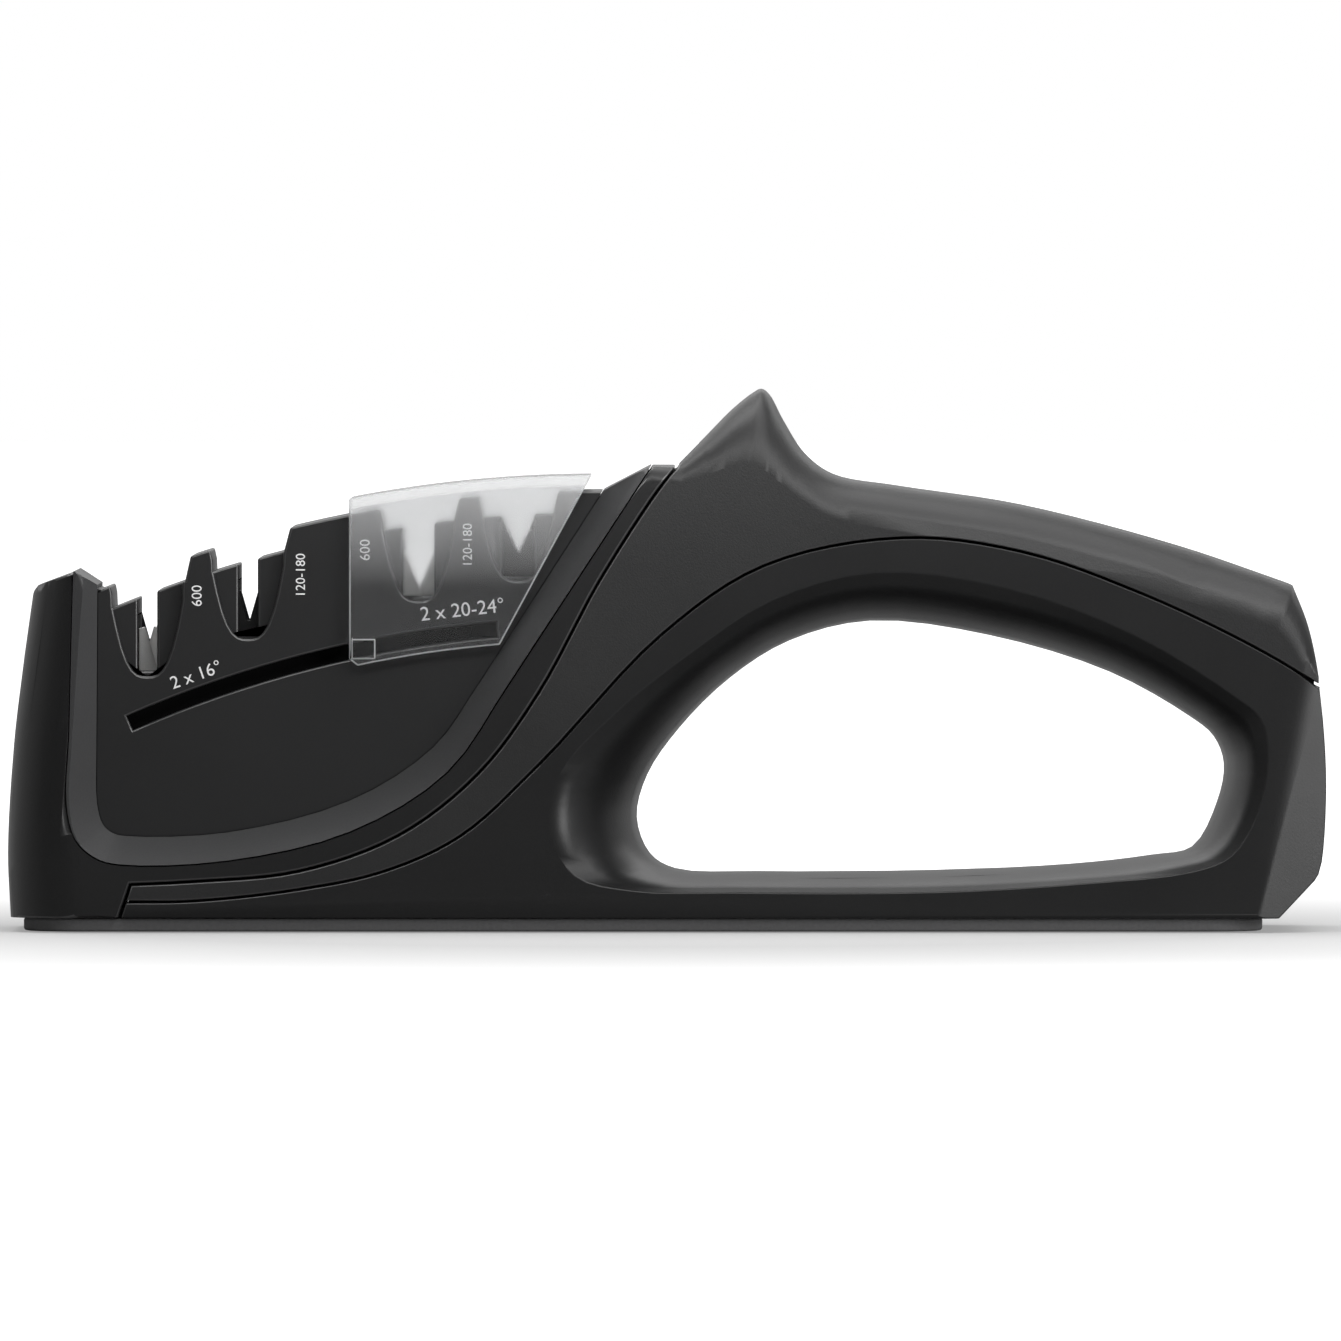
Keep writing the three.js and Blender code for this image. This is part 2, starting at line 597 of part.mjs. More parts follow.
// U-shaped recess around a slot: steep sides, round floor, open at the top
function recessOutline(stage) {
  const top = arcHeight(stage.x, BLOCK_TOP_RADIUS);
  const half = NOTCH_WIDTH / 2;
  const points = [];
  for (let step = -RECESS_STEPS; step <= RECESS_STEPS; step += 1) {
    const share = step / RECESS_STEPS;
    const rise = RECESS_SIDE_RISE * Math.abs(share) ** RECESS_FLOOR_POWER;
    points.push([stage.x + share * half, top - stage.recess * (1 - rise)]);
  }
  return [...points, [stage.x + half, FAR], [stage.x - half, FAR]];
}

function slotFloor(stage) {
  return arcHeight(stage.x, BLOCK_TOP_RADIUS) - stage.recess + SLOT_FLOOR_RISE;
}

function slotOutline(stage) {
  const half = stage.width / 2;
  return rectangle(stage.x - half, stage.x + half, slotFloor(stage), FAR);
}

function crossingHeight(stage) {
  return arcHeight(stage.x, BLOCK_TOP_RADIUS) - stage.apex;
}

// Slot through the whole block. Between the side panels it narrows with the V of the crossed elements.
function slotCut(stage) {
  const apexZ = crossingHeight(stage);
  const mouth = FIT + (FAR - apexZ) * Math.tan(stage.angle);
  const wedge = across([
    [stage.x - FIT, apexZ], [stage.x + FIT, apexZ], [stage.x + mouth, FAR], [stage.x - mouth, FAR],
  ], FAR);
  return across(slotOutline(stage), FAR).intersect(wedge)
    .add(bothSides(slotOutline(stage), cavityHalfWidth, FAR));
}

function grooveCut() {
  const outline = ringSector(
    GROOVE_RADIUS - GROOVE_WIDTH / 2, GROOVE_RADIUS + GROOVE_WIDTH / 2, GROOVE_FRONT_X, GROOVE_REAR_X, 16,
  );
  return bothSides(outline, BLOCK_HALF_WIDTH - GROOVE_DEPTH, FAR);
}

function blockOutline(inset) {
  return across(shifted(bandInner, inset, true), BLOCK_HALF_WIDTH);
}

function slotBlock() {
  let block = blockOutline(FIT).intersect(across(underArc(BLOCK_TOP_RADIUS), FAR));
  const hollow = across(underArc(ceilingRadius), cavityHalfWidth);
  block = block.add(blockLip()).subtract(hollow.intersect(across(rectangle(cavityFrontX, FAR, 0, FAR), FAR)));
  block = block.subtract(grooveCut());
  for (const stage of STAGES) {
    block = block.subtract(notchCut(stage)).subtract(bothSides(recessOutline(stage), panelFace, FAR))
      .subtract(slotCut(stage));
  }
  return block;
}

// Crossed elements of one slot: each leans to one side, with its inner edge through the crossing point
function elementPlaces(stage) {
  const { angle } = stage;
  const apexZ = crossingHeight(stage);
  const ceiling = arcHeight(stage.x - ELEMENT_WIDTH, ceilingRadius) - 3 * FIT;
  const above = (ceiling - apexZ) / Math.cos(angle);
  const middle = (above - stage.reach) / 2;
  return [['a', -1], ['b', 1]].map(([letter, lean]) => ({
    letter,
    length: above + stage.reach,
    turn: lean * angle,
    position: [
      stage.x + lean * (middle * Math.sin(angle) + (ELEMENT_WIDTH / 2) * Math.cos(angle)),
      (lean * (ELEMENT_THICKNESS + ELEMENT_SPACING)) / 2,
      apexZ + middle * Math.cos(angle) - (ELEMENT_WIDTH / 2) * Math.sin(angle),
    ],
  }));
}

function elementGeometry(stage, length, grow = 0) {
  if (stage.element === 'ceramic_rod') {
    const radius = ELEMENT_WIDTH / 2 + grow;
    const rod = new THREE.CylinderGeometry(radius, radius, length + 2 * grow, 16).rotateX(Math.PI / 2);
    return rod.scale(1, ELEMENT_THICKNESS / ELEMENT_WIDTH, 1);
  }
  return new THREE.BoxGeometry(
    ELEMENT_WIDTH + 2 * grow, ELEMENT_THICKNESS + 2 * grow, length + 2 * grow,
  );
}

function elementSocket(stage, place) {
  const geometry = elementGeometry(stage, place.length, FIT);
  geometry.rotateY(place.turn);
  geometry.translate(...place.position);
  return solidOf(geometry);
}

// Insert under the block's ceiling that holds the crossed elements of one pair of slots. It backs the carbide
// bars along their V, and leaves the ceramic rods bare across the slot.
function carrier(fromX, toX) {
  let insert = blockOutline(2 * FIT)
    .intersect(across(underArc(ceilingRadius - FIT), cavityHalfWidth - FIT))
    .intersect(across(rectangle(fromX, toX, 0, FAR), FAR));
  for (const stage of STAGES.filter(({ x }) => x > fromX && x < toX)) {
    const bare = stage.element === 'ceramic_rod';
    insert = insert.subtract(bare ? across(slotOutline(stage), FAR) : slotCut(stage));
    for (const place of elementPlaces(stage)) {
      insert = insert.subtract(elementSocket(stage, place));
    }
  }
  return insert;
}

// Clear cover: a channel over the block, with a guide rib and a push tab on each leg
const coverInner = BLOCK_HALF_WIDTH + COVER_SLIDE_GAP;
const coverOuter = coverInner + COVER_WALL;
const coverInnerRadius = BLOCK_TOP_RADIUS + COVER_TOP_GAP;
const coverOuterRadius = coverInnerRadius + COVER_WALL;
const coverFootRadius = GROOVE_RADIUS - GROOVE_WIDTH / 2 - COVER_FOOT_LAP;

function coverOutline() {
  const top = ringSector(coverFootRadius, coverOuterRadius, COVER_FRONT_X, COVER_TOP_REAR_X, 12).slice(13);
  const foot = ringSector(
    coverFootRadius, coverFootRadius, COVER_FRONT_X + COVER_CORNER, COVER_FOOT_REAR_X, 8,
  ).slice(0, 9);
  const footZ = arcHeight(COVER_FRONT_X, coverFootRadius);
  return [...top, [COVER_FRONT_X, footZ + COVER_CORNER], ...foot];
}

function slotCover() {
  const inside = across(underArc(coverInnerRadius), coverInner);
  const ribHalf = GROOVE_WIDTH / 2 - FIT;
  const rib = ringSector(GROOVE_RADIUS - ribHalf, GROOVE_RADIUS + ribHalf, ...COVER_RIB_SPAN, 8);
  const ribTip = BLOCK_HALF_WIDTH - GROOVE_DEPTH + FIT;
  const tabZ = arcHeight(COVER_FRONT_X, coverFootRadius) + COVER_CORNER;
  const tab = rectangle(
    COVER_FRONT_X + 0.4, COVER_FRONT_X + COVER_TAB_LENGTH, tabZ, tabZ + COVER_TAB_HEIGHT,
  );
  return across(coverOutline(), coverOuter).subtract(inside)
    .add(bothSides(rib, ribTip, coverOuter - COVER_WALL / 2))
    .add(bothSides(tab, coverOuter - COVER_WALL / 2, coverOuter + COVER_TAB_RISE));
}

function finish(color, roughness, metalness = 0, extra = {}) {
  return new THREE.MeshStandardMaterial({ color, roughness, metalness, ...extra });
}

function piece(name, geometry, material) {
  const mesh = new THREE.Mesh(geometry, material);
  mesh.name = name;
  return mesh;
}

const sharpener = new THREE.Group();
const body = bodyEnvelope();
sharpener.add(
  piece('handle_frame', geometryOf(handleFrame(body)), finish(BODY_BLACK, 0.45)),
  piece('grip_cap', geometryOf(gripCap(body)), finish(GRIP_BLACK, 0.6)),
  piece('head_housing', geometryOf(headHousing(body)), finish(BODY_BLACK, 0.45)),
  piece('trim_band', geometryOf(trimBand(body)), finish(BAND_GREY, 0.4)),
  piece('slot_block', geometryOf(slotBlock()), finish(BLOCK_BLACK, 0.5)),
  piece('slot_cover', geometryOf(slotCover()), finish(COVER_CLEAR, 0.2, 0, CLEAR)),
  piece('base_plate', geometryOf(basePlate()), finish(BODY_BLACK, 0.6)),
  piece('sole_pad', geometryOf(solePad()), finish(SOLE_GREY, 0.8)),
);

['narrow_carrier', 'wide_carrier'].forEach((name, i) => {
  sharpener.add(piece(name, geometryOf(carrier(...CARRIER_SPANS[i])), finish(BLOCK_BLACK, 0.6)));
});

STAGES.forEach((stage, i) => {
  const ceramic = stage.element === 'ceramic_rod';
  const material = () => (ceramic ? finish(CERAMIC_WHITE, 0.5) : finish(CARBIDE_GREY, 0.35, 0.6));
  for (const place of elementPlaces(stage)) {
    const name = `${stage.element}_${i + 1}${place.letter}`;
    const element = piece(name, elementGeometry(stage, place.length), material());
    element.rotation.y = place.turn;
    element.position.set(...place.position);
    sharpener.add(element);
  }
});

screwSpots.forEach(([x, y], i) => {
  const screw = piece(`base_screw_${i + 1}`, screwGeometry(), finish(STEEL, 0.35, 1));
  screw.position.set(x, y, BODY_BOTTOM + FIT);
  sharpener.add(screw);
});

export default sharpener;
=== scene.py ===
# %% [markdown]
# This script dresses a handheld pull-through knife sharpener: a curved head with four V slots, a clear
# cover that slides over one pair of slots at a time, and a loop handle with a thumb horn. The solid model
# comes from the frame, so every piece is already at its real size and place, in metres. Here each piece
# gets soft moulded edges and its finish, and small numbers are printed beside the slots.

import json
import math

import bpy
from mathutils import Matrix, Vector
from mathutils.bvhtree import BVHTree

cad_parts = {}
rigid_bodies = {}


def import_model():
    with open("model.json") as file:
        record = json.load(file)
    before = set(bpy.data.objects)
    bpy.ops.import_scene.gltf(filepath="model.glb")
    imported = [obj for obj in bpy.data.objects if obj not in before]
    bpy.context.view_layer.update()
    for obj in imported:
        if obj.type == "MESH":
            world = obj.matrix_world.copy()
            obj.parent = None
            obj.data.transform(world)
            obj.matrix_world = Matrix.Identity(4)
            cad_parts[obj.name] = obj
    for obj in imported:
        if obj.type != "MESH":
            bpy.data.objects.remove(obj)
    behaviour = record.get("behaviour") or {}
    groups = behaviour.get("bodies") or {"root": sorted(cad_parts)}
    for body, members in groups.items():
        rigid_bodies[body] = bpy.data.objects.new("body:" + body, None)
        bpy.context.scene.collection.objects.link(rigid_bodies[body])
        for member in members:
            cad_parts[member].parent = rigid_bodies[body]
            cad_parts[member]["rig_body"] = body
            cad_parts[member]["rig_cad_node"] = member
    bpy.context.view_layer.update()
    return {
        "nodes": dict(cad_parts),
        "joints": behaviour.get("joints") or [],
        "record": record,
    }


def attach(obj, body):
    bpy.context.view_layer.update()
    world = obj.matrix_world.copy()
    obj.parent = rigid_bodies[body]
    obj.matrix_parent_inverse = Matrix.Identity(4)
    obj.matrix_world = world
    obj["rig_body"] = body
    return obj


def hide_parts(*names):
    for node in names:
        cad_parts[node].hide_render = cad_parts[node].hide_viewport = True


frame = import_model()
MM = 0.001

# %% [markdown]
# The photograph is a long-lens picture taken square to the side, at the height of the handle: one can look
# straight through the narrow slots. A lens close by would show the walls of the slots instead, so this
# camera stands far away and its lens is long. The picture is square, so the lens, the sensor and the
# distance alone set the width of the view.

# %% Camera
PHOTO_WIDTH = 223.5 * MM
VIEW_CENTRE = Vector((0.7 * MM, 0, 42.9 * MM))
CAMERA_RISE = math.radians(1.0)
LENS = 600.0
SENSOR = 36.0
CLIP_REACH = 4

camera_distance = PHOTO_WIDTH * LENS / SENSOR
towards_camera = Vector((0, -math.cos(CAMERA_RISE), math.sin(CAMERA_RISE)))
bpy.ops.object.camera_add(
    location=VIEW_CENTRE + towards_camera * camera_distance,
    rotation=(math.pi / 2 - CAMERA_RISE, 0, 0),
)
camera = bpy.context.object
camera.data.lens = LENS
camera.data.sensor_width = SENSOR
camera.data.clip_end = CLIP_REACH * camera_distance
bpy.context.scene.camera = camera
print("camera stands", round(camera_distance, 2), "m away")

# %% [markdown]
# The background is white, yet a white room all round would wash out black plastic. So only some rays see
# the white: camera rays, also through the clear cover, and mirrored rays that run to the back, at a lower
# strength. The front of the studio is dim, so that the sides of the object mirror little. The Light Path
# node tells the kinds of ray apart, so the white is seen and mirrored but does not light the object.

# %% Rays that see the background
BACK_START = -0.45
BACK_END = 0.1
MIRRORED_WHITE = 0.42


def ramp(nodes, links, value, start=0.0, end=1.0, low=0.0, high=1.0):
    node = nodes.new("ShaderNodeMapRange")
    node.inputs["From Min"].default_value = start
    node.inputs["From Max"].default_value = end
    node.inputs["To Min"].default_value = low
    node.inputs["To Max"].default_value = high
    links.new(value, node.inputs["Value"])
    return node.outputs["Result"]


def combine(nodes, links, operation, first, second):
    node = nodes.new("ShaderNodeMath")
    node.operation = operation
    links.new(first, node.inputs[0])
    links.new(second, node.inputs[1])
    return node.outputs[0]


def background_rays(nodes, links, place):
    split = nodes.new("ShaderNodeSeparateXYZ")
    links.new(place, split.inputs["Vector"])
    back = ramp(nodes, links, split.outputs["Y"], BACK_START, BACK_END, high=MIRRORED_WHITE)
    rays = nodes.new("ShaderNodeLightPath").outputs
    mirrored = combine(nodes, links, "MULTIPLY", rays["Is Glossy Ray"], back)
    direct = combine(nodes, links, "MAXIMUM", rays["Is Camera Ray"], rays["Is Transmission Ray"])
    return combine(nodes, links, "MAXIMUM", direct, mirrored)


print("mirrored rays see", MIRRORED_WHITE, "of the white at the back")

# %% [markdown]
# The sharpener stands on a plain white floor that keeps a soft shadow under the sole. The lamps stand close
# to the object and leave the far floor dim, so the floor gets a glow that grows with the distance, where
# more lamps would only wash out the shadow. Near the object the glow stays low and the floor stays grey: a
# painted soft shadow round the sharpener, besides the shadow the lamps cast. The floor lies a hair below the
# sole, because two faces in one plane flicker.

# %% White floor
FLOOR_SIZE = 30.0
FLOOR_DROP = 0.2 * MM
FLOOR_COLOUR = 0.3
FLOOR_GLOW = 0.3
FAR_START = 0.1
FAR_END = 0.4


def new_material(name):
    material = bpy.data.materials.new(name)
    material.use_nodes = True
    return material, material.node_tree.nodes, material.node_tree.links


bpy.ops.object.select_all(action="DESELECT")
bpy.ops.mesh.primitive_plane_add(size=FLOOR_SIZE, location=(0, 0, -FLOOR_DROP))
floor = bpy.context.object
floor.name = "studio_floor"
floor_material, nodes, links = new_material("white_floor")
shader = nodes["Principled BSDF"]
shader.inputs["Base Color"].default_value = (FLOOR_COLOUR, FLOOR_COLOUR, FLOOR_COLOUR, 1)
shader.inputs["Roughness"].default_value = 1.0
shader.inputs["Specular IOR Level"].default_value = 0.0
shader.inputs["Emission Color"].default_value = (1, 1, 1, 1)
place = nodes.new("ShaderNodeTexCoord").outputs["Object"]
distance = nodes.new("ShaderNodeVectorMath")
distance.operation = "LENGTH"
links.new(place, distance.inputs[0])
# Low glow near the object is painted shade: the floor stays grey round the sharpener.
growth = ramp(nodes, links, distance.outputs["Value"], FAR_START, FAR_END)
far_glow = combine(nodes, links, "MULTIPLY", growth, background_rays(nodes, links, place))
glow = nodes.new("ShaderNodeMath")
glow.operation = "MULTIPLY_ADD"
links.new(nodes.new("ShaderNodeLightPath").outputs["Is Camera Ray"], glow.inputs[0])
glow.inputs[1].default_value = FLOOR_GLOW
links.new(far_glow, glow.inputs[2])
links.new(glow.outputs[0], shader.inputs["Emission Strength"])
floor.data.materials.append(floor_material)
print("floor is", FLOOR_SIZE, "m wide")

# %% [markdown]
# The world is white for the same rays and dim for all others, as a grey room would be. The Standard view
# transform shows colours as they are written, without a film curve.

# %% White world
WORLD_LIGHT = 0.15

world = bpy.data.worlds.new("white_studio")
bpy.context.scene.world = world
world.use_nodes = True
nodes, links = world.node_tree.nodes, world.node_tree.links
background = nodes["Background"]
background.inputs["Color"].default_value = (1, 1, 1, 1)
direction = nodes.new("ShaderNodeTexCoord").outputs["Generated"]
strength = ramp(nodes, links, background_rays(nodes, links, direction), low=WORLD_LIGHT)
links.new(strength, background.inputs["Strength"])
bpy.context.scene.view_settings.view_transform = "Standard"
print("world lights the object at", WORLD_LIGHT, "of white")

# %% [markdown]
# Black plastic shows its shape by what it mirrors, so the lamps are soft boxes that stand near the object.
# One hangs overhead and runs a gradient down the grip, one in front of it lights the round shoulders, one
# leans in from the head's end and lights the slope of the horn, one stands at the rear corner and catches
# the facets, and a strip on each side fades down the flat sides. Each brightness is given against white,
# and the power follows from the size of the box.

# %% Soft boxes
# Columns: name, place and sides in metres, brightness against white.
SOFT_BOXES = [
    ("overhead_box", (0.05, 0.05, 0.5), (0.55, 0.4), 2.2),
    ("shoulder_box", (0.08, -0.29, 0.4), (0.6, 0.28), 1.9),
    ("head_end_box", (-0.26, 0.14, 0.5), (0.3, 0.3), 2.8),
    ("rear_end_box", (0.46, -0.42, 0.08), (0.25, 0.3), 8.4),
    ("near_side_strip", (0.02, -0.09, 0.115), (0.3, 0.03), 4.2),
    ("far_side_strip", (0.0, 0.26, 0.2), (0.7, 0.08), 1.4),
]
for name, spot, sides, brightness in SOFT_BOXES:
    bpy.ops.object.light_add(type="AREA", location=spot)
    lamp = bpy.context.object
    lamp.name = name
    lamp.data.shape = "RECTANGLE"
    lamp.data.size, lamp.data.size_y = sides
    lamp.data.energy = brightness * math.pi * sides[0] * sides[1]
    lamp.rotation_euler = (VIEW_CENTRE - Vector(spot)).to_track_quat("-Z", "Y").to_euler()
    lamp.visible_camera = False
print(len(SOFT_BOXES), "soft boxes")

# %% [markdown]
# A moulded plastic never shows one flat colour: the tool leaves a fine spark-eroded grain, and the gloss
# drifts a little from place to place. A picture of the grain would need a map on every piece, so the grain
# is a noise on object coordinates instead, which fits any shape at its real size. One recipe makes all the
# plastics: a fine noise for the bump and the tint, and a broad one for the gloss.

# %% Recipe for moulded plastic
GRAIN_DETAIL = 3
GRAIN_RELIEF = 0.05 * MM
CLOUD_SCALE = 45
CLOUD_DETAIL = 4
TINT_SPREAD = 0.15
GLOSS_DRIFT = 0.06


def noise(nodes, links, place, scale, detail=2):
    node = nodes.new("ShaderNodeTexNoise")
    node.inputs["Scale"].default_value = scale
    node.inputs["Detail"].default_value = detail
    links.new(place, node.inputs["Vector"])
    return node.outputs["Fac"]


def raise_grain(nodes, links, shader, height, depth, relief):
    bump = nodes.new("ShaderNodeBump")
    bump.inputs["Strength"].default_value = depth
    bump.inputs["Distance"].default_value = relief
    links.new(height, bump.inputs["Height"])
    links.new(bump.outputs["Normal"], shader.inputs["Normal"])


def drift_gloss(nodes, links, shader, cloud, roughness, drift):
    gloss = ramp(nodes, links, cloud, low=roughness - drift, high=roughness + drift)
    links.new(gloss, shader.inputs["Roughness"])


def moulded_plastic(name, colour, roughness, grain_mm, grain_depth, sheen, drift=GLOSS_DRIFT):
    material, nodes, links = new_material(name)
    shader = nodes["Principled BSDF"]
    shader.inputs["Specular IOR Level"].default_value = sheen
    place = nodes.new("ShaderNodeTexCoord").outputs["Object"]
    grain = noise(nodes, links, place, 1 / (grain_mm * MM), GRAIN_DETAIL)
    raise_grain(nodes, links, shader, grain, grain_depth, GRAIN_RELIEF)
    cloud = noise(nodes, links, place, CLOUD_SCALE, CLOUD_DETAIL)
    drift_gloss(nodes, links, shader, cloud, roughness, drift)
    tint = nodes.new("ShaderNodeMix")
    tint.data_type = "RGBA"
    tint.inputs["A"].default_value = [channel * (1 - TINT_SPREAD) for channel in colour] + [1]
    tint.inputs["B"].default_value = [channel * (1 + TINT_SPREAD) for channel in colour] + [1]
    links.new(grain, tint.inputs["Factor"])
    links.new(tint.outputs["Result"], shader.inputs["Base Color"])
    return material


print("plastic grain stands up to", GRAIN_RELIEF / MM, "mm high")

# %% [markdown]
# The blacks differ in gloss more than in colour: the frame and the head are satin, the grip cap is a softer
# plastic to hold, the trim band is a dark grey, and the slot block lies between. The rubber sole is dull,
# and the fired ceramic of the fine rods is the one pale piece.

# %% Finishes of plastic, rubber and ceramic
# Columns: name, colour, roughness, grain size in mm, grain depth, sheen.
PLASTICS = {
    "body_plastic": ("satin_black", (0.01, 0.01, 0.0103), 0.34, 0.35, 0.25, 0.33),
    "grip_plastic": ("soft_touch_black", (0.0115, 0.0115, 0.0118), 0.44, 0.3, 0.5, 0.4),
    "band_plastic": ("band_grey", (0.043, 0.043, 0.044), 0.4, 0.35, 0.2, 0.33),
    "block_plastic": ("block_black", (0.013, 0.013, 0.0134), 0.38, 0.3, 0.15, 0.37),
    "carrier_plastic": ("insert_black", (0.0065, 0.0065, 0.0067), 0.55, 0.4, 0.3, 0.17),
    "plate_plastic": ("plate_black", (0.013, 0.013, 0.0133), 0.6, 0.5, 0.3, 0.33),
    "sole_rubber": ("sole_grey_rubber", (0.165, 0.165, 0.167), 0.8, 0.6, 0.8, 0.2),
    "ceramic": ("fired_ceramic", (0.75, 0.745, 0.73), 0.5, 0.15, 0.6, 0.5),
}
FINISHES = {slot: moulded_plastic(*row) for slot, row in PLASTICS.items()}
print("plastic finishes:", ", ".join(FINISHES))

# %% [markdown]
# The carbide bars are ground metal, dark with fine lines, and the screws are zinc plated steel. The lines
# are a noise that is stretched along the piece and across it, so that only its height still varies quickly.

# %% Metal finishes
LINE_STRETCH = 0.05
LINE_DEPTH = 0.2
LINE_RELIEF = 0.02 * MM
GRINDING_DRIFT = 0.1


def ground_metal(name, colour, roughness, line_mm):
    material, nodes, links = new_material(name)
    shader = nodes["Principled BSDF"]
    shader.inputs["Metallic"].default_value = 1.0
    shader.inputs["Base Color"].default_value = (*colour, 1)
    stretch = nodes.new("ShaderNodeMapping")
    stretch.inputs["Scale"].default_value = (LINE_STRETCH, LINE_STRETCH, 1)
    links.new(nodes.new("ShaderNodeTexCoord").outputs["Object"], stretch.inputs["Vector"])
    lines = noise(nodes, links, stretch.outputs["Vector"], 1 / (line_mm * MM))
    drift_gloss(nodes, links, shader, lines, roughness, GRINDING_DRIFT)
    raise_grain(nodes, links, shader, lines, LINE_DEPTH, LINE_RELIEF)
    return material


FINISHES["carbide"] = ground_metal("ground_carbide", (0.06, 0.06, 0.065), 0.4, 0.2)
FINISHES["screw_steel"] = ground_metal("zinc_steel", (0.5, 0.51, 0.52), 0.35, 0.3)
print("metal finishes: carbide, screw_steel")

# %% [markdown]
# The slot cover is a clear moulding with a slight haze: what lies behind it is a little blurred and lifted
# in tone, most of all near the top. That paler top is painted light: the walls let less light through
# towards the top and turn whiter there, in place of the light that the moulding takes in from above. The
# rounded edges scatter light, so that a bright line runs round the cover. Clear glass alone would hide all
# that. Two finishes of one recipe, for the walls and for the edges, change the share of light that passes
# from foot to top.

# %% Clear finishes
PAINTED_LIGHT_START = 57 * MM
PAINTED_LIGHT_END = 74 * MM
HAZE_SCALE = 120
HAZE_DRIFT = 0.02
CLEAR_IOR = 1.4


def hazy_clear_painted_gradient(name, colour, clear_foot, clear_top, roughness):
    material, nodes, links = new_material(name)
    shader = nodes["Principled BSDF"]
    shader.inputs["Base Color"].default_value = (*colour, 1)
    shader.inputs["Transmission Weight"].default_value = clear_foot
    shader.inputs["IOR"].default_value = CLEAR_IOR
    place = nodes.new("ShaderNodeTexCoord").outputs["Object"]
    split = nodes.new("ShaderNodeSeparateXYZ")
    links.new(place, split.inputs["Vector"])
    # Painted light: the share of light that passes changes with height, so the walls turn paler towards the
    # top.
    passed = ramp(nodes, links, split.outputs["Z"], PAINTED_LIGHT_START, PAINTED_LIGHT_END, clear_foot, clear_top)
    links.new(passed, shader.inputs["Transmission Weight"])
    haze = noise(nodes, links, place, HAZE_SCALE)
    drift_gloss(nodes, links, shader, haze, roughness, HAZE_DRIFT)
    return material


FINISHES["clear_plastic"] = hazy_clear_painted_gradient("hazy_clear_painted_gradient", (0.86, 0.865, 0.87), 1.0, 0.78, 0.15)
CLEAR_EDGE = hazy_clear_painted_gradient("frosted_edge", (0.8, 0.805, 0.81), 0.68, 0.75, 0.35)
# Between these heights the cover's walls are painted paler towards the top.
print("cover turns hazy between", PAINTED_LIGHT_START / MM, "and", PAINTED_LIGHT_END / MM, "mm above the floor")

# %% [markdown]
# A solid from the frame has perfectly sharp edges, and no moulding has those, so each piece will be a copy
# of its solid with a bevel on its sharp edges. Only ridges on the outside get one: tongues, lips and hollows
# inside stay as they are, and so do the edges along the trim band, which is fitted flush. Selecting sharp
# edges can't tell a ridge from a valley, so the faces are asked: beside a ridge, the second face leans away
# from the first.

# %% Outer ridges
SHARP = math.radians(32)
FLUSH_GAP = 0.4 * MM

band_mesh = frame["nodes"]["trim_band"].data
band_surface = BVHTree.FromPolygons(
    [corner.co for corner in band_mesh.vertices], [face.vertices for face in band_mesh.polygons],
)


def select_sharp_edges():
    bpy.ops.object.mode_set(mode="EDIT")
    bpy.ops.mesh.select_mode(type="EDGE")
    bpy.ops.mesh.select_all(action="DESELECT")
    bpy.ops.mesh.edges_select_sharp(sharpness=SHARP)
    bpy.ops.object.mode_set(mode="OBJECT")


def ridges(mesh):
    facing = {}
    for face in mesh.polygons:
        corners = list(face.vertices)
        for start, end in zip(corners, corners[1:] + corners[:1]):
            facing[start, end] = face.normal
    found = set()
    for (start, end), normal in facing.items():
        along = mesh.vertices[end].co - mesh.vertices[start].co
        if normal.cross(along).dot(facing.get((end, start), normal)) < 0:
            found.add((min(start, end), max(start, end)))
    return found


def outer_edges(mesh, inner_half):
    found = []
    convex = ridges(mesh)
    for edge in mesh.edges:
        start, end = (mesh.vertices[corner].co for corner in edge.vertices)
        outside = min(abs(start.y), abs(end.y)) >= inner_half
        flush = band_surface.find_nearest((start + end) / 2, FLUSH_GAP)[0]
        if edge.select and edge.key in convex and outside and flush is None:
            found.append(edge)
    return found


print("ridges over", round(math.degrees(SHARP)), "degrees count as sharp")

# %% [markdown]
# A bevel is never wider than the shortest edge beside it allows, and a rounded solid has many short ones.
# So the short edges that touch an outer ridge are collapsed first, and the ridges then get a weight that
# the bevel follows.

# %% Short edges and bevel weights
SHORT_EDGE = 0.5 * MM


def collapse_short_edges(mesh, inner_half):
    select_sharp_edges()
    chain = {corner for edge in outer_edges(mesh, inner_half) for corner in edge.vertices}
    for edge in mesh.edges:
        start, end = (mesh.vertices[corner].co for corner in edge.vertices)
        edge.select = (end - start).length < SHORT_EDGE and not chain.isdisjoint(edge.vertices)
    bpy.ops.object.mode_set(mode="EDIT")
    bpy.ops.mesh.dissolve_degenerate(threshold=SHORT_EDGE)
    bpy.ops.object.mode_set(mode="OBJECT")


def weigh_outer_edges(mesh, inner_half):
    select_sharp_edges()
    weight = mesh.attributes.new("bevel_weight_edge", "FLOAT", "EDGE")
    for edge in outer_edges(mesh, inner_half):
        weight.data[edge.index].value = 1.0


print("edges under", SHORT_EDGE / MM, "mm are collapsed beside a ridge")

# %% [markdown]
# Each piece starts as a duplicate of its solid, because the solid itself has to stay as it is. A solid is
# loose triangles, so the copy is merged, and triangles in one plane are joined, which leaves only the edges
# that the real piece has.

# %% Clean copy of a solid
MERGE_DISTANCE = 0.03 * MM
FLAT_ANGLE = math.radians(0.6)


